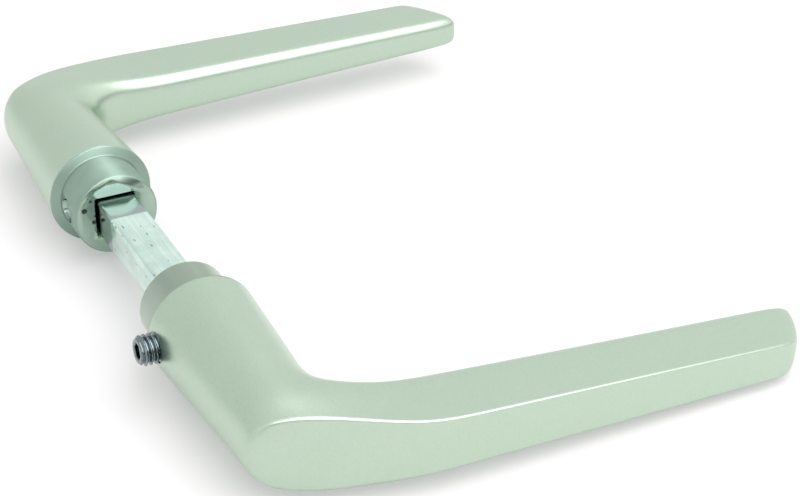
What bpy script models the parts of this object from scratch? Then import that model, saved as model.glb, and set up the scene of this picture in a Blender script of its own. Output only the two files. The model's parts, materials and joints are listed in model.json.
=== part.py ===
"""Pair of door lever handles on one square spindle.

One lever is fixed on the spindle by a pin through its collar.  The other slides on the
spindle and is clamped by a set screw in its neck; here the screw stands backed off, so
that lever hangs a little low within the play of its square socket.

Frame: origin on the spindle's axis, midway between the two collars, where the lock sits.
+X runs along the levers to their tips, +Y along the spindle to the fixed lever, +Z up.
"""
import bpy
import bmesh
from math import cos, pi, radians, sin

MM = 0.001

# ---- driving dimensions -------------------------------------------------------------
SPINDLE_SIDE = 8.0 * MM
SPINDLE_EDGE = 0.5 * MM           # rounding of the drawn bar's long edges
SPINDLE_IN_FIXED = 24.0 * MM      # how far the bar reaches past the fixed lever's collar end
SPINDLE_IN_LOOSE = 32.0 * MM
COLLAR_GAP = 37.8 * MM            # between the two collar ends
COLLAR_LENGTH = 9.8 * MM
COLLAR_RADIUS = 8.85 * MM
COLLAR_CHAMFER = 0.4 * MM
NECK_RADIUS = 11.0 * MM           # at the shoulder
NECK_TAPER = 0.054                # radius lost per length of neck
SOCKET_SIDE_FIXED = 8.6 * MM      # square holes, each with the bar's clearance
SOCKET_SIDE_LOOSE = 9.0 * MM
SOCKET_DEPTH_FIXED = 26.0 * MM
SOCKET_DEPTH_LOOSE = 45.0 * MM
PLAY_ANGLE = radians(3.2)         # how far the unclamped lever hangs down
PIN_RADIUS = 2.3 * MM
PIN_FROM_SHOULDER = 3.9 * MM
PIN_RECESS = 0.5 * MM             # pin ends lie below the collar's surface
SCREW_RADIUS = 2.9 * MM           # M6, over its worn crests
SCREW_LENGTH = 6.0 * MM
SCREW_FROM_SHOULDER = 3.6 * MM
SCREW_BELOW_AXIS = 0.1 * MM       # its hole was drilled this far off the middle
SCREW_PROUD = 3.4 * MM            # how far it stands out of the neck
HEX_ACROSS_FLATS = 3.0 * MM
HEX_DEPTH = 2.5 * MM
GAP = 0.3 * MM                    # kept between a piece and the hole made for it

SHOULDER_U = COLLAR_GAP / 2 + COLLAR_LENGTH
COLLAR_END_U = COLLAR_GAP / 2
ROUND_SIDES = 32

# ---- the lever's body ---------------------------------------------------------------
# A ring of the cage has ten points: its outer side's middle, four above the lever's
# middle plane, its inner side's middle, and the same four below.  Across is -1 on the
# outer side and +1 on the inner side, and up is a share of the ring's half height.
ROUND_ACROSS = [-cos(k * pi / 5) for k in range(6)]
ROUND_UP = [sin(k * pi / 5) for k in range(6)]
SQUARE_ACROSS = [-1.0, -1.0, -0.35, 0.33, 1.0, 1.0]
SQUARE_UP = [0.0, 1.0, 1.0, 1.0, 1.0, 0.0]
CAGE_SWELL = 6 / (4 + 2 * cos(pi / 5))   # ten-sided ring to the circle that it rounds to


def round_station(u, radius):
    r = radius * CAGE_SWELL
    return (r, u), (-r, u), r, 0.0, 0.0


def neck_radius(u):
    return NECK_RADIUS - NECK_TAPER * (u - SHOULDER_U)


# Stations along the lever: inner (x, u), outer (x, u), half height of the cage, and how
# square the section is on its outer and on its inner side.  u is the distance from the
# origin along the spindle.
TURNED = [
    round_station(COLLAR_END_U, COLLAR_RADIUS - COLLAR_CHAMFER),
    round_station(COLLAR_END_U + COLLAR_CHAMFER, COLLAR_RADIUS),
    round_station(SHOULDER_U, COLLAR_RADIUS),
    round_station(SHOULDER_U, NECK_RADIUS),
]
SHAPED = [
    round_station(41.0 * MM, neck_radius(41.0 * MM)),
    round_station(52.0 * MM, neck_radius(52.0 * MM)),
    ((10.1 * MM, 55.8 * MM), (-9.7 * MM, 63.0 * MM), 9.6 * MM, 0.0, 0.0),
    ((11.1 * MM, 59.6 * MM), (-9.0 * MM, 71.5 * MM), 9.2 * MM, 0.35, 0.1),
    ((13.6 * MM, 62.8 * MM), (2.0 * MM, 75.0 * MM), 8.3 * MM, 0.9, 0.4),
    ((17.9 * MM, 64.6 * MM), (12.0 * MM, 78.3 * MM), 6.7 * MM, 1.0, 0.8),
    ((23.6 * MM, 64.9 * MM), (22.0 * MM, 81.2 * MM), 5.5 * MM, 1.0, 1.0),
    ((32.0 * MM, 65.1 * MM), (32.0 * MM, 81.1 * MM), 5.15 * MM, 1.0, 1.0),
    ((60.0 * MM, 66.0 * MM), (60.0 * MM, 81.0 * MM), 4.55 * MM, 1.0, 1.0),
    ((90.0 * MM, 66.8 * MM), (87.0 * MM, 80.9 * MM), 3.9 * MM, 1.0, 1.0),
    ((101.0 * MM, 67.0 * MM), (95.0 * MM, 80.9 * MM), 3.7 * MM, 1.0, 1.0),
    ((104.8 * MM, 68.0 * MM), (98.5 * MM, 80.6 * MM), 3.6 * MM, 1.0, 1.0),
]
CORNER = len(TURNED) + 3     # the ring where the neck's side turns into the outer face
FACE_EDGE_CREASE = 0.5
CORNER_CREASE = 0.35
TIP_CREASE = 0.32
TIP_BULGE = 0.9 * MM      # how far the middle of the tip's end stands out past its corners
CAGE_LEVELS = 2


def mix(a, b, share):
    return a + (b - a) * share


def ring_points(inner, outer, half_height, outer_square, inner_square):
    points = []
    for k in range(6):
        square = outer_square if k < 3 else inner_square
        across = mix(ROUND_ACROSS[k], SQUARE_ACROSS[k], square)
        up = mix(ROUND_UP[k], SQUARE_UP[k], square)
        share = (across + 1) / 2
        x = mix(outer[0], inner[0], share)
        u = mix(outer[1], inner[1], share)
        points.append((x, u, up * half_height))
    return points + [(x, u, -z) for x, u, z in reversed(points[1:5])]


def lever_cage(side):
    """The lever's coarse cage; side is +1 for the fixed lever and -1 for the loose one."""
    bm = bmesh.new()
    crease = bm.edges.layers.float.new("crease_edge")
    rings = []
    for station in TURNED + SHAPED:
        rings.append([bm.verts.new((x, side * u, z)) for x, u, z in ring_points(*station)])
    for a, b in zip(rings, rings[1:]):
        for k in range(10):
            bm.faces.new((a[k], a[k - 9], b[k - 9], b[k]))
    bm.faces.new(rings[0])

    tip = rings[-1]
    for k in (2, 3, 7, 8):
        tip[k].co.x += TIP_BULGE
    middle = [bm.verts.new((tip[k].co + tip[10 - k].co) / 2) for k in (2, 3)]
    rows = [tip[1:5], [tip[0], *middle, tip[5]], [tip[9], tip[8], tip[7], tip[6]]]
    for upper, lower in zip(rows, rows[1:]):
        for k in range(3):
            bm.faces.new((upper[k], upper[k + 1], lower[k + 1], lower[k]))

    def set_crease(a, b, value):
        bm.edges.get((a, b))[crease] = value

    for ring in rings[:len(TURNED)]:
        for k in range(10):
            set_crease(ring[k - 1], ring[k], 1.0)
    for k in range(10):
        set_crease(tip[k - 1], tip[k], TIP_CREASE)
    for k in (1, 9):
        set_crease(rings[CORNER][0], rings[CORNER][k], CORNER_CREASE)
        for a, b in zip(rings[CORNER:], rings[CORNER + 1:]):
            set_crease(a[k], b[k], FACE_EDGE_CREASE)
    bmesh.ops.recalc_face_normals(bm, faces=bm.faces[:])
    return bm


# ---- helpers ------------------------------------------------------------------------
def clear_scene():
    for obj in list(bpy.data.objects):
        bpy.data.objects.remove(obj, do_unlink=True)


def new_collection(name):
    collection = bpy.data.collections.new(name)
    bpy.context.scene.collection.children.link(collection)
    return collection


def material(name, colour, roughness, metallic):
    mat = bpy.data.materials.new(name)
    mat.use_nodes = True
    shader = mat.node_tree.nodes["Principled BSDF"]
    shader.inputs["Base Color"].default_value = (*colour, 1.0)
    shader.inputs["Roughness"].default_value = roughness
    shader.inputs["Metallic"].default_value = metallic
    return mat


def mesh_object(bm, name, collection, mat=None):
    mesh = bpy.data.meshes.new(name)
    bm.to_mesh(mesh)
    bm.free()
    mesh.shade_smooth()
    mesh.set_sharp_from_angle(angle=radians(35))
    obj = bpy.data.objects.new(name, mesh)
    collection.objects.link(obj)
    if mat:
        mesh.materials.append(mat)
    return obj


def as_cutter(obj):
    obj.hide_render = True
    obj.display_type = "WIRE"
    return obj


def cut(obj, cutter):
    boolean = obj.modifiers.new(cutter.name, "BOOLEAN")
    boolean.operation = "DIFFERENCE"
    boolean.solver = "EXACT"
    boolean.object = cutter


def box(name, size, centre, collection, mat=None):
    bm = bmesh.new()
    bmesh.ops.create_cube(bm, size=1.0)
    bmesh.ops.scale(bm, vec=size, verts=bm.verts)
    obj = mesh_object(bm, name, collection, mat)
    obj.location = centre
    return obj


def rod(name, radius, length, collection, sides=ROUND_SIDES):
    """A plain cylinder along X, centred on its origin."""
    bm = bmesh.new()
    bmesh.ops.create_cone(bm, cap_ends=True, segments=sides, radius1=radius, radius2=radius, depth=length)
    obj = mesh_object(bm, name, collection)
    obj.rotation_euler = (0, pi / 2, 0)
    return obj


def turned_rod(name, radius, length, chamfer, collection, mat):
    """A chamfered rod turned about its own Z, which is laid along X."""
    top = length / 2
    profile = [(0, top), (radius - chamfer, top), (radius, top - chamfer)]
    profile += [(radius, chamfer - top), (radius - chamfer, -top), (0, -top)]
    bm = bmesh.new()
    verts = [bm.verts.new((x, 0, z)) for x, z in profile]
    for a, b in zip(verts, verts[1:]):
        bm.edges.new((a, b))
    obj = mesh_object(bm, name, collection, mat)
    turn = obj.modifiers.new("turn", "SCREW")
    turn.steps = ROUND_SIDES
    turn.render_steps = ROUND_SIDES
    turn.use_merge_vertices = True
    turn.merge_threshold = 0.00001
    obj.rotation_euler = (0, pi / 2, 0)
    return obj


# ---- pieces -------------------------------------------------------------------------
def lever(name, side, socket_side, socket_depth, parts, cutters, mat):
    obj = mesh_object(lever_cage(side), name, parts, mat)
    rounding = obj.modifiers.new("rounding", "SUBSURF")
    rounding.levels = CAGE_LEVELS
    rounding.render_levels = CAGE_LEVELS
    run_out = 5.0 * MM
    size = (socket_side, socket_depth + run_out, socket_side)
    centre = (0, side * (COLLAR_END_U + (socket_depth - run_out) / 2), 0)
    socket = as_cutter(box(name + "_socket", size, centre, cutters))
    cut(obj, socket)
    return obj, socket


def fixed_lever(parts, cutters, mat):
    obj, _ = lever("fixed_lever", 1, SOCKET_SIDE_FIXED, SOCKET_DEPTH_FIXED, parts, cutters, mat)
    hole = as_cutter(rod("pin_hole", PIN_RADIUS + GAP, 4 * COLLAR_RADIUS, cutters))
    hole.location.y = SHOULDER_U - PIN_FROM_SHOULDER
    cut(obj, hole)
    return hole


def loose_lever(frame, parts, cutters, mat):
    obj, socket = lever("loose_lever", -1, SOCKET_SIDE_LOOSE, SOCKET_DEPTH_LOOSE, parts, cutters, mat)
    hole = as_cutter(rod("screw_hole", SCREW_RADIUS + GAP, 2 * NECK_RADIUS, cutters))
    hole.location = (-NECK_RADIUS, -(SHOULDER_U + SCREW_FROM_SHOULDER), -SCREW_BELOW_AXIS)
    cut(obj, hole)
    for child in (obj, socket, hole):
        child.parent = frame


def spindle(pin_hole, parts, mat):
    fixed_end = COLLAR_END_U + SPINDLE_IN_FIXED
    loose_end = -COLLAR_END_U - SPINDLE_IN_LOOSE
    size = (SPINDLE_SIDE, fixed_end - loose_end, SPINDLE_SIDE)
    obj = box("spindle", size, (0, (fixed_end + loose_end) / 2, 0), parts, mat)
    rounding = obj.modifiers.new("drawn_edges", "BEVEL")
    rounding.width = SPINDLE_EDGE
    rounding.segments = 3
    cut(obj, pin_hole)


def retaining_pin(parts, mat):
    length = 2 * (COLLAR_RADIUS - PIN_RECESS)
    obj = turned_rod("retaining_pin", PIN_RADIUS, length, 0.3 * MM, parts, mat)
    obj.location.y = SHOULDER_U - PIN_FROM_SHOULDER


def set_screw(frame, parts, cutters, mat):
    station = SHOULDER_U + SCREW_FROM_SHOULDER
    outer_end = neck_radius(station) + SCREW_PROUD
    obj = turned_rod("set_screw", SCREW_RADIUS, SCREW_LENGTH, 0.5 * MM, parts, mat)
    obj.location = (SCREW_LENGTH / 2 - outer_end, -station, -SCREW_BELOW_AXIS)
    obj.parent = frame
    across_corners = HEX_ACROSS_FLATS / cos(pi / 6)
    hexagon = as_cutter(rod("hex_socket", across_corners / 2, 2 * HEX_DEPTH, cutters, sides=6))
    hexagon.location = (-outer_end, -station, -SCREW_BELOW_AXIS)
    hexagon.parent = frame
    cut(obj, hexagon)


def build():
    clear_scene()
    parts = new_collection("door_lever_handle")
    cutters = new_collection("cutters")
    aluminium = material("satin_aluminium", (0.56, 0.64, 0.56), 0.38, 1.0)
    zinc = material("zinc_plated_steel", (0.62, 0.76, 0.71), 0.25, 1.0)
    bright = material("bright_steel", (0.70, 0.71, 0.76), 0.25, 1.0)
    dark = material("dark_steel", (0.20, 0.22, 0.24), 0.3, 1.0)

    loose_frame = bpy.data.objects.new("loose_lever_frame", None)
    loose_frame.rotation_euler = (0, PLAY_ANGLE, 0)
    parts.objects.link(loose_frame)

    pin_hole = fixed_lever(parts, cutters, aluminium)
    loose_lever(loose_frame, parts, cutters, aluminium)
    spindle(pin_hole, parts, zinc)
    retaining_pin(parts, bright)
    set_screw(loose_frame, parts, cutters, dark)


build()
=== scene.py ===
"""Looks for a pair of door lever handles on one square spindle.

The levers are rebuilt from a coarse cage like the CAD solids' own, at a finer level, with
crisper face edges, a rounder tip and their machined edges, and the set screw gets a real
thread.  All sizes are in metres.
"""
import json
from math import atan2, cos, pi, radians, sin

import bmesh
import bpy
from mathutils import Matrix, Quaternion, Vector


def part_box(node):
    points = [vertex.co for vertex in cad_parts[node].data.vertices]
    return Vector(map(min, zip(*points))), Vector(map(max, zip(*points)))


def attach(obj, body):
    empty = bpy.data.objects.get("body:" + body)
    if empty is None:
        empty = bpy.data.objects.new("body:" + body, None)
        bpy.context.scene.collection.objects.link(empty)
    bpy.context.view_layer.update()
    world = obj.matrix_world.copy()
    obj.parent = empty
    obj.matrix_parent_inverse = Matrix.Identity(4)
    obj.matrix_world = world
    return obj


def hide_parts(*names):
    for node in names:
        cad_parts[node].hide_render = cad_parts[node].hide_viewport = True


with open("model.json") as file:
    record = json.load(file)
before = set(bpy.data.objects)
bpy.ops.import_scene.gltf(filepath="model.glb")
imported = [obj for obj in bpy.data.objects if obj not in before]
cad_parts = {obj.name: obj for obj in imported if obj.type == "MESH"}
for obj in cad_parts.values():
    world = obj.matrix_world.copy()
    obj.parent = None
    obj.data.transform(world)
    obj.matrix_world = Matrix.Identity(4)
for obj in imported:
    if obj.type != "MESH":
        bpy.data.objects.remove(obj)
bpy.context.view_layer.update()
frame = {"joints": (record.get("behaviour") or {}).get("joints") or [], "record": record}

MM = 0.001
mounts = {mount["name"]: mount for mount in frame["record"]["mounts"]}
joints = {joint["name"]: joint for joint in frame["joints"]}

# ---- places and sizes read from the frame -------------------------------------------
fixed_low, fixed_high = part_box("fixed_lever")
spindle_low, spindle_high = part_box("spindle")
pin_low, pin_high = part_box("retaining_pin")
COLLAR_END_U = fixed_low.y
SHOULDER_U = mounts["fixed_shoulder"]["pos_m"][1]
NECK_RADIUS = -fixed_low.x
SPINDLE_HALF = spindle_high.x
PIN_RADIUS = (pin_high.z - pin_low.z) / 2
PIN_Y = (pin_low.y + pin_high.y) / 2
screw_axis = Vector(joints["set_screw_travel"]["axis"])
PLAY_ANGLE = atan2(-screw_axis.z, screw_axis.x)      # how far the loose lever hangs down
loose_turn = Matrix.Rotation(PLAY_ANGLE, 4, "Y")
screw_low, screw_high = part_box("set_screw")
screw_middle = loose_turn.inverted() @ ((screw_low + screw_high) / 2)      # as if the lever hung level

# ---- finer sizes --------------------------------------------------------------------
COLLAR_RADIUS = 8.85 * MM
NECK_TAPER = 0.054
END_CHAMFER = 0.35 * MM
BASE_FILLET = 0.25 * MM
RIM_CHAMFER = 0.25 * MM
FIXED_SOCKET_HALF = 4.22 * MM
FIXED_SOCKET_DEPTH = 26 * MM
FIXED_SOCKET_MIDDLE = (-0.1 * MM, 0.15 * MM)     # the hole's middle off the bar's
LOOSE_SOCKET_HALF = 4.4 * MM
LOOSE_SOCKET_DEPTH = 45 * MM
SOCKET_MOUTH = 0.3 * MM          # chamfer round the square hole
SOCKET_CORNER = 0.3 * MM
HOLE_MOUTH = 0.1 * MM            # broken edge of the round holes
PIN_HOLE_RADIUS = PIN_RADIUS + 0.3 * MM
PITS = [      # across, up, radius
    (-6.8 * MM, 2.4 * MM, 0.62 * MM),
    (-5.35 * MM, 4.3 * MM, 0.38 * MM),
    (-4.95 * MM, -0.6 * MM, 0.48 * MM),
    (-4.75 * MM, 0.8 * MM, 0.22 * MM),
    (-4.3 * MM, -3.9 * MM, 0.3 * MM),
]
SPINDLE_EDGE = 0.5 * MM          # rounding of the drawn edges
SPINDLE_CHAMFER = 0.5 * MM       # at the bar's sawn ends
SCREW_LENGTH = 6.0 * MM
SCREW_PITCH = 1.0 * MM
SCREW_RADIUS = 3.0 * MM
SCREW_ROOT = 2.42 * MM
SCREW_CLEARANCE = 0.05 * MM
HEX_ACROSS_FLATS = 3.0 * MM
HEX_DEPTH = 2.5 * MM


def srgb(code):
    """A hex colour as linear red, green, blue and alpha."""
    values = []
    for k in (0, 2, 4):
        c = int(code[k:k + 2], 16) / 255
        values.append(c / 12.92 if c <= 0.04045 else ((c + 0.055) / 1.055) ** 2.4)
    return (*values, 1.0)


# ---- finishes -----------------------------------------------------------------------
def add_node(tree, kind, inputs=None, **settings):
    """Adds one node: inputs maps its sockets to values or to other nodes' outputs."""
    made = tree.nodes.new(kind)
    for name, value in settings.items():
        setattr(made, name, value)
    for socket, value in (inputs or {}).items():
        if isinstance(value, bpy.types.NodeSocket):
            tree.links.new(value, made.inputs[socket])
        else:
            made.inputs[socket].default_value = value
    return made


def new_finish(name, colour, roughness, metallic=1.0):
    """A finish with its overall colour and roughness, which its patterns are linked over."""
    mat = bpy.data.materials.new(name)
    mat.use_nodes = True
    tree = mat.node_tree
    shader = tree.nodes["Principled BSDF"]
    shader.inputs["Base Color"].default_value = srgb(colour)
    shader.inputs["Roughness"].default_value = roughness
    shader.inputs["Metallic"].default_value = metallic
    place = add_node(tree, "ShaderNodeTexCoord").outputs["Object"]
    return mat, tree, shader, place


# Patterns, as how many there are to a metre.  The blasting leaves grains near 0.1 mm, and the
# drawing die and the lathe leave lines as fine.  They are too fine to show, so the grains are
# drawn 0.5 mm apart, the die's streaks 0.4 mm apart and the lathe's rings 0.3 mm apart.
GRAIN_PER_M = 2000.0
STREAKS_PER_M = 2600.0


def satin_anodised_aluminium():
    """Cast, bead-blasted and anodised aluminium: an even grey with a soft wide sheen, a fine
    grain and faint cloudiness from the bath."""
    mat, tree, shader, place = new_finish("satin_anodised_aluminium", "BACEBA", 0.32)
    cloud = add_node(tree, "ShaderNodeTexNoise", {"Vector": place, "Scale": 160.0, "Detail": 3.0})
    grain = add_node(tree, "ShaderNodeTexNoise", {"Vector": place, "Scale": GRAIN_PER_M, "Detail": 2.0})
    blend = add_node(tree, "ShaderNodeMath", {
        0: cloud.outputs["Fac"], 1: 0.3, 2: grain.outputs["Fac"]}, operation="MULTIPLY_ADD")
    tone = add_node(tree, "ShaderNodeMapRange", {
        "Value": blend.outputs[0], "From Min": 0.4, "From Max": 0.9})
    colour = add_node(tree, "ShaderNodeMix", {
        0: tone.outputs[0], 6: srgb("B6CBB8"), 7: srgb("BED0BD")}, data_type="RGBA")
    tree.links.new(colour.outputs[2], shader.inputs["Base Color"])
    rough = add_node(tree, "ShaderNodeMapRange", {
        "Value": grain.outputs["Fac"], "To Min": 0.29, "To Max": 0.35})
    tree.links.new(rough.outputs[0], shader.inputs["Roughness"])
    bump = add_node(tree, "ShaderNodeBump", {
        "Height": grain.outputs["Fac"], "Strength": 0.2, "Distance": 0.02 * MM})
    tree.links.new(bump.outputs[0], shader.inputs["Normal"])
    return mat


def turned_aluminium(name, dark, light, smoothest, roughest):
    """Aluminium as it left the lathe: smoother than the blasted skin, so it mirrors what is
    near it, with fine rings about the spindle's axis.

    Its colours are darker than the bare metal's: painted shade, to offset the lamp that it mirrors."""
    mat, tree, shader, place = new_finish(name, dark, smoothest)
    rings = add_node(tree, "ShaderNodeTexWave", {
        "Vector": place, "Scale": 1100.0, "Distortion": 0.3, "Detail": 1.0},
        wave_type="RINGS", rings_direction="Y")
    bands = add_node(tree, "ShaderNodeTexWave", {
        "Vector": place, "Scale": 900.0, "Distortion": 0.3, "Detail": 1.0},
        wave_type="BANDS", bands_direction="Y")
    both = add_node(tree, "ShaderNodeMath", {
        0: rings.outputs["Fac"], 1: bands.outputs["Fac"]}, operation="ADD")
    cloud = add_node(tree, "ShaderNodeTexNoise", {"Vector": place, "Scale": 250.0, "Detail": 4.0})
    colour = add_node(tree, "ShaderNodeMix", {
        0: cloud.outputs["Fac"], 6: srgb(dark), 7: srgb(light)}, data_type="RGBA")
    tree.links.new(colour.outputs[2], shader.inputs["Base Color"])
    rough = add_node(tree, "ShaderNodeMapRange", {
        "Value": cloud.outputs["Fac"], "To Min": smoothest, "To Max": roughest})
    tree.links.new(rough.outputs[0], shader.inputs["Roughness"])
    bump = add_node(tree, "ShaderNodeBump", {
        "Height": both.outputs[0], "Strength": 0.015, "Distance": 0.02 * MM})
    tree.links.new(bump.outputs[0], shader.inputs["Normal"])
    return mat


GREY_BAND = 8.6 * MM             # on the bar, from the fixed collar's end
GREY_BAND_FADE = 0.06            # the share of it that fades out


def bright_zinc_plate():
    """Bright zinc plate on cold-drawn square bar: pale and cool, mirror-like across the
    bar but streaked along it by the drawing die, with small dull spots.

    The grey band beside the fixed collar is painted.  It stands in for the collar's own
    reflection, which the lamp washes out."""
    mat, tree, shader, place = new_finish("bright_zinc_plate", "CDE6DC", 0.2)
    along = add_node(tree, "ShaderNodeMapping", {
        "Vector": place, "Scale": (STREAKS_PER_M, 30.0, STREAKS_PER_M)})
    streaks = add_node(tree, "ShaderNodeTexNoise", {"Vector": along.outputs[0], "Scale": 1.0, "Detail": 4.0})
    cloud = add_node(tree, "ShaderNodeTexNoise", {"Vector": place, "Scale": 180.0, "Detail": 3.0})
    tone = add_node(tree, "ShaderNodeMath", {
        0: streaks.outputs["Fac"], 1: cloud.outputs["Fac"]}, operation="MULTIPLY")
    lift = add_node(tree, "ShaderNodeMapRange", {
        "Value": tone.outputs[0], "From Min": 0.12, "From Max": 0.38})
    colour = add_node(tree, "ShaderNodeMix", {
        0: lift.outputs[0], 6: srgb("BFDBD2"), 7: srgb("E2F8EE")}, data_type="RGBA")
    spot_place = add_node(tree, "ShaderNodeMapping", {"Vector": place, "Scale": (900.0, 240.0, 900.0)})
    spots = add_node(tree, "ShaderNodeTexVoronoi", {"Vector": spot_place.outputs[0], "Scale": 1.0})
    spot = add_node(tree, "ShaderNodeMapRange", {
        "Value": spots.outputs["Distance"], "From Min": 0.06, "From Max": 0.18, "To Min": 1.0, "To Max": 0.0})
    sparse = add_node(tree, "ShaderNodeSeparateColor", {0: spots.outputs["Color"]})
    chosen = add_node(tree, "ShaderNodeMath", {0: sparse.outputs[0], 1: 0.4}, operation="GREATER_THAN")
    dull = add_node(tree, "ShaderNodeMath", {0: spot.outputs[0], 1: chosen.outputs[0]}, operation="MULTIPLY")
    spotted = add_node(tree, "ShaderNodeMix", {
        0: dull.outputs[0], 6: colour.outputs[2], 7: srgb("67857F")}, data_type="RGBA")
    along_bar = add_node(tree, "ShaderNodeSeparateXYZ", {0: place}).outputs["Y"]
    band = add_node(tree, "ShaderNodeMapRange", {
        "Value": along_bar, "From Min": COLLAR_END_U - GREY_BAND,
        "From Max": COLLAR_END_U - (1 - GREY_BAND_FADE) * GREY_BAND})
    banded = add_node(tree, "ShaderNodeMix", {
        0: band.outputs[0], 6: spotted.outputs[2], 7: srgb("A3B0B0")}, data_type="RGBA")
    tree.links.new(banded.outputs[2], shader.inputs["Base Color"])
    rough = add_node(tree, "ShaderNodeMapRange", {
        "Value": streaks.outputs["Fac"], "To Min": 0.08, "To Max": 0.2})
    tree.links.new(rough.outputs[0], shader.inputs["Roughness"])
    bump = add_node(tree, "ShaderNodeBump", {
        "Height": streaks.outputs["Fac"], "Strength": 0.1, "Distance": 0.02 * MM})
    tree.links.new(bump.outputs[0], shader.inputs["Normal"])
    return mat


def ground_steel():
    """The pin's ground steel: bright and smooth, with faint rings on its ends."""
    mat, tree, shader, place = new_finish("ground_steel", "DAD9E4", 0.2)
    rings = add_node(tree, "ShaderNodeTexWave", {
        "Vector": place, "Scale": 800.0, "Distortion": 1.0, "Detail": 2.0},
        wave_type="RINGS", rings_direction="X")
    rough = add_node(tree, "ShaderNodeMapRange", {
        "Value": rings.outputs["Fac"], "To Min": 0.14, "To Max": 0.3})
    tree.links.new(rough.outputs[0], shader.inputs["Roughness"])
    colour = add_node(tree, "ShaderNodeMix", {
        0: rings.outputs["Fac"], 6: srgb("CBCAD8"), 7: srgb("E3E2EC")}, data_type="RGBA")
    tree.links.new(colour.outputs[2], shader.inputs["Base Color"])
    return mat


def oiled_black_steel():
    """The set screw's blackened alloy steel: cloudy blue-grey, smooth and a little oily."""
    mat, tree, shader, place = new_finish("oiled_black_steel", "565F66", 0.24)
    cloud = add_node(tree, "ShaderNodeTexNoise", {"Vector": place, "Scale": 900.0, "Detail": 4.0})
    colour = add_node(tree, "ShaderNodeMix", {
        0: cloud.outputs["Fac"], 6: srgb("5A676B"), 7: srgb("8F9DA0")}, data_type="RGBA")
    tree.links.new(colour.outputs[2], shader.inputs["Base Color"])
    rough = add_node(tree, "ShaderNodeMapRange", {
        "Value": cloud.outputs["Fac"], "To Min": 0.12, "To Max": 0.24})
    tree.links.new(rough.outputs[0], shader.inputs["Roughness"])
    return mat


def casting_grime():
    """A dark, mottled colour laid over the insides of the small pits beside the square hole."""
    mat, tree, shader, place = new_finish("casting_grime", "3C4F3C", 0.7, metallic=0.0)
    pit_mottle = add_node(tree, "ShaderNodeTexNoise", {"Vector": place, "Scale": 2500.0, "Detail": 3.0})
    colour = add_node(tree, "ShaderNodeMix", {
        0: pit_mottle.outputs["Fac"], 6: srgb("0E1710"), 7: srgb("2C412C")}, data_type="RGBA")
    tree.links.new(colour.outputs[2], shader.inputs["Base Color"])
    return mat


# ---- the levers' cage ---------------------------------------------------------------
# A ring has ten points: its outer side's middle, four above the lever's middle plane, its
# inner side's middle, and the same four below.
ROUND_ACROSS = [-cos(k * pi / 5) for k in range(6)]
ROUND_UP = [sin(k * pi / 5) for k in range(6)]
SQUARE_ACROSS = [-1.0, -1.0, -0.35, 0.33, 1.0, 1.0]
SQUARE_UP = [0.0, 1.0, 1.0, 1.0, 1.0, 0.0]
CAGE_SWELL = 6 / (4 + 2 * cos(pi / 5))
LEVER_LEVELS = 4


def neck_station(u):
    r = (NECK_RADIUS - NECK_TAPER * (u - SHOULDER_U)) * CAGE_SWELL
    return (r, u), (-r, u), r, 0.0, 0.0


# Inner (x, u), outer (x, u), half height, squareness of the outer and the inner side; u is
# the distance from the middle of the door along the spindle.
STATIONS = [
    neck_station(SHOULDER_U + RIM_CHAMFER),
    neck_station(41.0 * MM),
    neck_station(52.0 * MM),
    ((10.1 * MM, 55.8 * MM), (-9.7 * MM, 63.0 * MM), 9.6 * MM, 0.0, 0.0),
    ((11.1 * MM, 59.6 * MM), (-9.0 * MM, 71.5 * MM), 9.2 * MM, 0.35, 0.1),
    ((13.6 * MM, 62.8 * MM), (2.0 * MM, 75.0 * MM), 8.3 * MM, 0.9, 0.4),
    ((17.9 * MM, 64.6 * MM), (12.0 * MM, 78.3 * MM), 6.7 * MM, 1.0, 0.8),
    ((23.6 * MM, 64.9 * MM), (22.0 * MM, 81.2 * MM), 5.5 * MM, 1.0, 1.0),
    ((32.0 * MM, 65.1 * MM), (32.0 * MM, 81.1 * MM), 5.15 * MM, 1.0, 1.0),
    ((60.0 * MM, 66.0 * MM), (60.0 * MM, 81.0 * MM), 4.55 * MM, 1.0, 1.0),
    ((90.0 * MM, 66.8 * MM), (87.0 * MM, 80.9 * MM), 3.9 * MM, 1.0, 1.0),
    ((101.0 * MM, 67.0 * MM), (95.0 * MM, 80.9 * MM), 3.7 * MM, 1.0, 1.0),
    ((105.5 * MM, 67.9 * MM), (98.9 * MM, 80.6 * MM), 3.6 * MM, 1.0, 1.0),
]
CORNER = 4                       # the station where the arm's face edges begin
FACE_EDGE_CREASE = 0.6
CORNER_CREASE = 0.4
TIP_CREASE = 0.15
TIP_BULGE = 1.0 * MM             # how far the middle of the tip's end stands out


def mix(a, b, share):
    return a + (b - a) * share


def ring_points(inner, outer, half_height, outer_square, inner_square):
    points = []
    for k in range(6):
        square = outer_square if k < 3 else inner_square
        across = mix(ROUND_ACROSS[k], SQUARE_ACROSS[k], square)
        up = mix(ROUND_UP[k], SQUARE_UP[k], square)
        share = (across + 1) / 2
        points.append((mix(outer[0], inner[0], share), mix(outer[1], inner[1], share), up * half_height))
    return points + [(x, u, -z) for x, u, z in reversed(points[1:5])]


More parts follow.
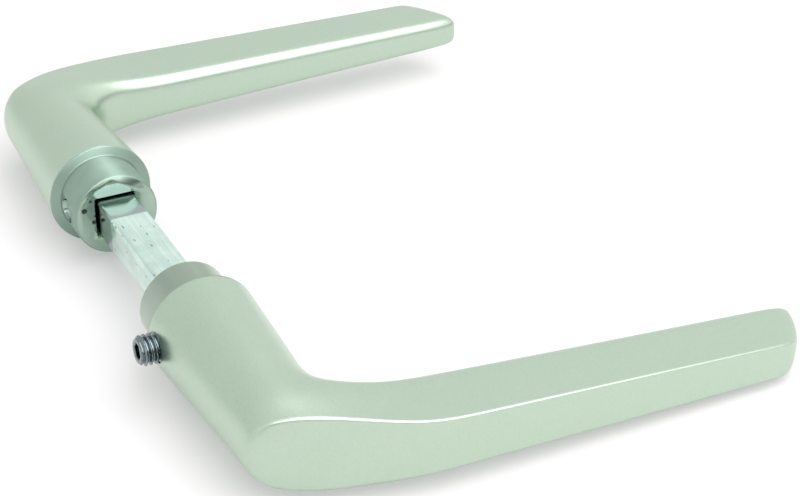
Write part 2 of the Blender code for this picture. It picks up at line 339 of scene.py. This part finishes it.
def lever_cage():
    bm = bmesh.new()
    crease = bm.edges.layers.float.new("crease_edge")
    rings = [[bm.verts.new(p) for p in ring_points(*station)] for station in STATIONS]
    for a, b in zip(rings, rings[1:]):
        for k in range(10):
            bm.faces.new((a[k - 9], a[k], b[k], b[k - 9]))
    tip = rings[-1]
    for k in (2, 3, 7, 8):
        tip[k].co.x += TIP_BULGE
    middle = [bm.verts.new((tip[k].co + tip[10 - k].co) / 2) for k in (2, 3)]
    rows = [tip[1:5], [tip[0], *middle, tip[5]], [tip[9], tip[8], tip[7], tip[6]]]
    for upper, lower in zip(rows, rows[1:]):
        for k in range(3):
            bm.faces.new((upper[k + 1], upper[k], lower[k], lower[k + 1]))

    def set_crease(a, b, value):
        bm.edges.get((a, b))[crease] = value

    for k in range(10):
        set_crease(tip[k - 1], tip[k], TIP_CREASE)
    for k in (1, 9):
        set_crease(rings[CORNER][0], rings[CORNER][k], CORNER_CREASE)
        for a, b in zip(rings[CORNER:], rings[CORNER + 1:]):
            set_crease(a[k], b[k], FACE_EDGE_CREASE)
    return bm


# ---- mesh helpers -------------------------------------------------------------------
def to_object(bm, name, materials=()):
    mesh = bpy.data.meshes.new(name)
    bm.to_mesh(mesh)
    bm.free()
    obj = bpy.data.objects.new(name, mesh)
    bpy.context.scene.collection.objects.link(obj)
    for mat in materials:
        mesh.materials.append(mat)
    return obj


def applied(obj):
    """The object with its modifiers applied to its mesh."""
    graph = bpy.context.evaluated_depsgraph_get()
    mesh = bpy.data.meshes.new_from_object(obj.evaluated_get(graph))
    old = obj.data
    obj.modifiers.clear()
    obj.data = mesh
    bpy.data.meshes.remove(old)
    return obj


def cut(obj, cutters):
    """Cuts the cutters out of the object, whose faces there take the cutter's material."""
    for cutter in cutters:
        boolean = obj.modifiers.new(cutter.name, "BOOLEAN")
        boolean.operation = "DIFFERENCE"
        boolean.solver = "EXACT"
        boolean.material_mode = "TRANSFER"
        boolean.object = cutter
    applied(obj)
    for cutter in cutters:
        bpy.data.objects.remove(cutter)


def loft(rings, materials, name):
    """A closed solid through rings of points, with a flat face at each end."""
    bm = bmesh.new()
    made = [[bm.verts.new(p) for p in ring] for ring in rings]
    count = len(made[0])
    for a, b in zip(made, made[1:]):
        for k in range(count):
            bm.faces.new((a[k - 1], a[k], b[k], b[k - 1]))
    bm.faces.new(made[0])
    bm.faces.new(made[-1][::-1])
    bmesh.ops.recalc_face_normals(bm, faces=bm.faces[:])
    return to_object(bm, name, materials)


def rounded_square(half, corner, y, centre=(0.0, 0.0), steps=6):
    """Points of a square with rounded corners, across the spindle at y."""
    points = []
    for quarter in range(4):
        for step in range(steps + 1):
            angle = (quarter + step / steps) * pi / 2
            turn = (quarter + 0.5) * pi / 2
            side = 2 ** 0.5 * (half - corner)
            x = centre[0] + side * cos(turn) + corner * cos(angle)
            z = centre[1] + side * sin(turn) + corner * sin(angle)
            points.append((x, y, z))
    return points


def circle(radius, x, y, z=0.0, steps=64):
    """Points of a circle about an axis along X."""
    turns = [2 * pi * k / steps for k in range(steps)]
    return [(x, y + radius * cos(t), z + radius * sin(t)) for t in turns]


def smooth(obj, angle=32):
    obj.data.shade_smooth()
    obj.data.set_sharp_from_angle(angle=radians(angle))


# ---- pieces -------------------------------------------------------------------------
def lever_blank(name, side, materials, collar_finish):
    """The lever with its shoulder and collar, before any hole is cut.

    side is +1 for the lever on the +Y side of the door and -1 for the other.  The shoulder
    and collar take the material at collar_finish, and the collar's end the second one."""
    shaped = to_object(lever_cage(), name)
    rounding = shaped.modifiers.new("rounding", "SUBSURF")
    rounding.levels = LEVER_LEVELS
    rounding.render_levels = LEVER_LEVELS
    applied(shaped)
    bm = bmesh.new()
    bm.from_mesh(shaped.data)
    bpy.data.objects.remove(shaped)
    profile = [
        (SHOULDER_U, NECK_RADIUS - RIM_CHAMFER),
        (SHOULDER_U, COLLAR_RADIUS + BASE_FILLET),
        (SHOULDER_U - BASE_FILLET, COLLAR_RADIUS),
        (COLLAR_END_U + END_CHAMFER, COLLAR_RADIUS),
        (COLLAR_END_U, COLLAR_RADIUS - END_CHAMFER),
    ]
    loop = [edge for edge in bm.edges if edge.is_boundary]
    for u, radius in profile:
        grown = bmesh.ops.extrude_edge_only(bm, edges=loop)["geom"]
        for face in (g for g in grown if isinstance(g, bmesh.types.BMFace)):
            face.material_index = collar_finish
        for vert in (g for g in grown if isinstance(g, bmesh.types.BMVert)):
            across = Vector((vert.co.x, 0, vert.co.z)).normalized() * radius
            vert.co = Vector((across.x, u, across.z))
        loop = [g for g in grown if isinstance(g, bmesh.types.BMEdge) and g.is_boundary]
    end = bmesh.ops.contextual_create(bm, geom=loop)["faces"][0]
    end.material_index = 1
    if side < 0:
        bmesh.ops.scale(bm, vec=(1, -1, 1), verts=bm.verts)
    bmesh.ops.recalc_face_normals(bm, faces=bm.faces[:])
    return to_object(bm, name, materials)


def socket_cutter(side, half, depth, centre, mat):
    """A square hole from the collar's end, whose chamfer widens on past the end by over."""
    over = 2 * MM
    mouth_corner = 0.5 * MM
    rings = [
        rounded_square(half + SOCKET_MOUTH + over, mouth_corner + over, side * (COLLAR_END_U - over), centre),
        rounded_square(half, SOCKET_CORNER, side * (COLLAR_END_U + SOCKET_MOUTH), centre),
        rounded_square(half, SOCKET_CORNER, side * (COLLAR_END_U + depth), centre),
    ]
    return loft(rings, [mat], "socket_cutter")


def hole_cutter(radius, surface_x, inner_x, y, z, mat):
    """A round hole along X from the side of the neck or collar, with a broken edge."""
    over = 3 * MM
    rings = [
        circle(radius + HOLE_MOUTH, surface_x - over, y, z),
        circle(radius + HOLE_MOUTH, surface_x, y, z),
        circle(radius, surface_x + HOLE_MOUTH, y, z),
        circle(radius, inner_x, y, z),
    ]
    return loft(rings, [mat], "hole_cutter")


def pit_cutter(x, z, radius, mat):
    """A ball that cuts a pit in the fixed lever's collar end."""
    outside = 0.35 * radius          # how far its middle is off the metal
    bm = bmesh.new()
    bmesh.ops.create_icosphere(bm, subdivisions=3, radius=radius)
    bmesh.ops.translate(bm, vec=(x, COLLAR_END_U - outside, z), verts=bm.verts)
    return to_object(bm, "pit_cutter", [mat])


def fixed_lever(materials, pit_lining):
    obj = lever_blank("fixed_lever_casting", 1, materials, collar_finish=2)
    cutters = [
        socket_cutter(1, FIXED_SOCKET_HALF, FIXED_SOCKET_DEPTH, FIXED_SOCKET_MIDDLE, materials[1]),
        hole_cutter(PIN_HOLE_RADIUS, -COLLAR_RADIUS, 2 * COLLAR_RADIUS, PIN_Y, 0.0, materials[1]),
    ]
    for x, z, radius in PITS:
        cutters.append(pit_cutter(x, z, radius, pit_lining))
    cut(obj, cutters)
    smooth(obj, 50)
    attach(obj, "fixed_lever")
    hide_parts("fixed_lever")


def loose_lever(materials):
    obj = lever_blank("loose_lever_casting", -1, materials, collar_finish=0)
    surface = NECK_RADIUS - NECK_TAPER * (-screw_middle.y - SHOULDER_U)
    cutters = [
        socket_cutter(-1, LOOSE_SOCKET_HALF, LOOSE_SOCKET_DEPTH, (0.0, 0.0), materials[1]),
        hole_cutter(SCREW_RADIUS + SCREW_CLEARANCE, -surface, 0.0, screw_middle.y, screw_middle.z,
                    materials[1]),
    ]
    cut(obj, cutters)
    smooth(obj, 50)
    obj.data.transform(loose_turn)
    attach(obj, "loose_lever")
    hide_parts("loose_lever")


def spindle(mat):
    """The square bar, with chamfered ends and the pin's hole through it."""
    ends = [
        (spindle_low.y, SPINDLE_HALF - SPINDLE_CHAMFER),
        (spindle_low.y + SPINDLE_CHAMFER, SPINDLE_HALF),
        (spindle_high.y - SPINDLE_CHAMFER, SPINDLE_HALF),
        (spindle_high.y, SPINDLE_HALF - SPINDLE_CHAMFER),
    ]
    rings = [rounded_square(half, SPINDLE_EDGE, y) for y, half in ends]
    obj = loft(rings, [mat], "spindle_bar")
    reach = 10 * MM                  # past the bar's faces on both sides
    hole = [circle(PIN_HOLE_RADIUS, -reach, PIN_Y), circle(PIN_HOLE_RADIUS, reach, PIN_Y)]
    cut(obj, [loft(hole, [mat], "pin_hole")])
    smooth(obj)
    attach(obj, "fixed_lever")
    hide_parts("spindle")


def retaining_pin(mat):
    """The cross pin, with slightly domed ends."""
    dome = [(0.35, 0.0), (0.7, 0.12 * MM), (0.9, 0.28 * MM), (1.0, 0.5 * MM)]     # share of radius, inset
    rings = [circle(PIN_RADIUS * share, pin_low.x + inset, PIN_Y) for share, inset in dome]
    rings += [circle(PIN_RADIUS * share, pin_high.x - inset, PIN_Y) for share, inset in reversed(dome)]
    obj = loft(rings, [mat], "retaining_pin_rod")
    smooth(obj, 40)
    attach(obj, "fixed_lever")
    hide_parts("retaining_pin")


CREST_SHARE = 0.12               # flat on the thread's crest, as a share of the pitch
FLANK_SHARE = 0.66               # its two sloping flanks; the rest is the flat root
CHAMFER_SLOPE = 0.9
OUTER_END_RADIUS = SCREW_ROOT - 0.1 * MM
INNER_END_RADIUS = SCREW_ROOT - 0.4 * MM


def thread_radius(turn, x):
    """The thread's radius at a turn about the axis and a distance x from the outer end."""
    phase = (x / SCREW_PITCH - turn / (2 * pi)) % 1.0
    off_crest = abs(2 * phase - 1)             # 0 on the crest's middle, 1 on the root's
    share = min(max((off_crest - CREST_SHARE) / FLANK_SHARE, 0.0), 1.0)
    radius = mix(SCREW_RADIUS, SCREW_ROOT, share)
    outer_chamfer = OUTER_END_RADIUS + x * CHAMFER_SLOPE
    inner_chamfer = INNER_END_RADIUS + (SCREW_LENGTH - x) * CHAMFER_SLOPE
    return min(radius, outer_chamfer, inner_chamfer)


def set_screw(mat):
    """An M6 socket set screw: its thread is one ridge wound round the rod."""
    around, per_pitch = 72, 20
    rows = round(SCREW_LENGTH / SCREW_PITCH * per_pitch)
    rings = []
    for row in range(rows + 1):
        x = SCREW_LENGTH * row / rows
        ring = []
        for k in range(around):
            turn = 2 * pi * k / around
            r = thread_radius(turn, x)
            ring.append((x - SCREW_LENGTH / 2, r * cos(turn), r * sin(turn)))
        rings.append(ring)
    obj = loft(rings, [mat], "set_screw_threaded")
    corner = HEX_ACROSS_FLATS / 2 / cos(pi / 6)
    outer = -SCREW_LENGTH / 2
    socket = [      # a countersink, the hexagon and the drill's point below it
        circle(corner + 1.2 * MM, outer - 1.0 * MM, 0.0, steps=6),
        circle(corner, outer + 0.2 * MM, 0.0, steps=6),
        circle(corner, outer + HEX_DEPTH, 0.0, steps=6),
        circle(0.2 * MM, outer + HEX_DEPTH + 0.8 * MM, 0.0, steps=6),
    ]
    cut(obj, [loft(socket, [mat], "hex_cutter")])
    smooth(obj, 30)
    obj.data.transform(loose_turn @ Matrix.Translation(screw_middle))
    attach(obj, "set_screw")
    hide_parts("set_screw")


# ---- studio -------------------------------------------------------------------------
def camera():
    """A camera above the front left, looking down at the middle of the pair."""
    place = Vector((-0.10599, -0.32591, 0.20220))
    aim = Vector((0.05527, 0.0, -0.01196))
    data = bpy.data.cameras.new("camera")
    data.sensor_width = 36.0
    data.lens = 89.4
    data.shift_x = 0.0024
    data.shift_y = -0.0039
    obj = bpy.data.objects.new("camera", data)
    obj.rotation_mode = "QUATERNION"
    level = (aim - place).to_track_quat("-Z", "Y")
    obj.rotation_quaternion = level @ Quaternion((0, 0, 1), -0.003)
    obj.location = place
    bpy.context.scene.collection.objects.link(obj)
    bpy.context.scene.camera = obj


def soft_box(name, place, turn, rise, size, radiance, colour="FFFFFF"):
    """A flat lamp whose front has the given radiance: its long side points turn degrees
    round from +Y towards -X, and rises by rise degrees."""
    data = bpy.data.lights.new(name, "AREA")
    data.shape = "RECTANGLE"
    data.size, data.size_y = size
    data.energy = radiance * pi * size[0] * size[1]
    data.color = srgb(colour)[:3]
    obj = bpy.data.objects.new(name, data)
    obj.location = place
    level = Matrix.Rotation(radians(turn), 4, "Z") @ Matrix.Rotation(radians(rise), 4, "X")
    obj.rotation_euler = level.to_euler()
    bpy.context.scene.collection.objects.link(obj)


def studio():
    """A pale floor in a white room, and one long lamp that rises from low in front to high
    at the back right."""
    bm = bmesh.new()
    bmesh.ops.create_grid(bm, x_segments=8, y_segments=8, size=3.0)
    mat, _, shader, _ = new_finish("pale_floor", "BDBDBC", 0.9, metallic=0.0)
    shader.inputs["Specular IOR Level"].default_value = 0.0
    shader.inputs["Emission Color"].default_value = srgb("FFFFFF")
    shader.inputs["Emission Strength"].default_value = 0.3     # lit from below, so shadows stay pale
    floor = to_object(bm, "floor", [mat])
    floor.location.z = fixed_low.z - 0.1 * MM

    world = bpy.data.worlds.new("studio")
    bpy.context.scene.world = world
    world.use_nodes = True
    tree = world.node_tree
    place = add_node(tree, "ShaderNodeTexCoord").outputs["Generated"]
    # The walls are brighter to the front right, with a dark strip low down there.
    slope = add_node(tree, "ShaderNodeVectorMath", {0: place, 1: (0.1, -0.18, 0.0)}, operation="DOT_PRODUCT")
    walls = add_node(tree, "ShaderNodeMath", {0: slope.outputs["Value"], 1: 1.06}, operation="ADD")
    height = add_node(tree, "ShaderNodeSeparateXYZ", {0: place}).outputs["Z"]
    low = add_node(tree, "ShaderNodeMapRange", {
        "Value": height, "From Min": 0.10, "From Max": 0.22, "To Min": 1.05, "To Max": 0.0})
    front = add_node(tree, "ShaderNodeVectorMath", {0: place, 1: (0.42, -0.9, 0.0)}, operation="DOT_PRODUCT")
    ahead = add_node(tree, "ShaderNodeMapRange", {
        "Value": front.outputs["Value"], "From Min": 0.1, "From Max": 0.5})
    dark = add_node(tree, "ShaderNodeMath", {0: low.outputs[0], 1: ahead.outputs[0]}, operation="MULTIPLY")
    light = add_node(tree, "ShaderNodeMath", {0: walls.outputs[0], 1: dark.outputs[0]}, operation="SUBTRACT")
    tree.links.new(light.outputs[0], tree.nodes["Background"].inputs["Strength"])
    tree.nodes["Background"].inputs["Color"].default_value = (1.0, 1.0, 1.0, 1.0)

    soft_box("overhead", (0.618, 0.325, 1.332), -36.3, 51.0, (0.56, 3.0), 2.25, "FFF6FF")
    bpy.context.scene.view_settings.view_transform = "Standard"


camera()
blasted = satin_anodised_aluminium()
# the faced and turned colours are darker than the bare metal: painted shade against the lamp's reflection in
# them
faced = turned_aluminium("faced_aluminium", "94AC9C", "A9BFB0", 0.12, 0.2)
turned = turned_aluminium("turned_aluminium", "869E90", "9AB1A3", 0.38, 0.48)
fixed_lever([blasted, faced, turned], casting_grime())
loose_lever([blasted, faced])
spindle(bright_zinc_plate())
retaining_pin(ground_steel())
set_screw(oiled_black_steel())
studio()
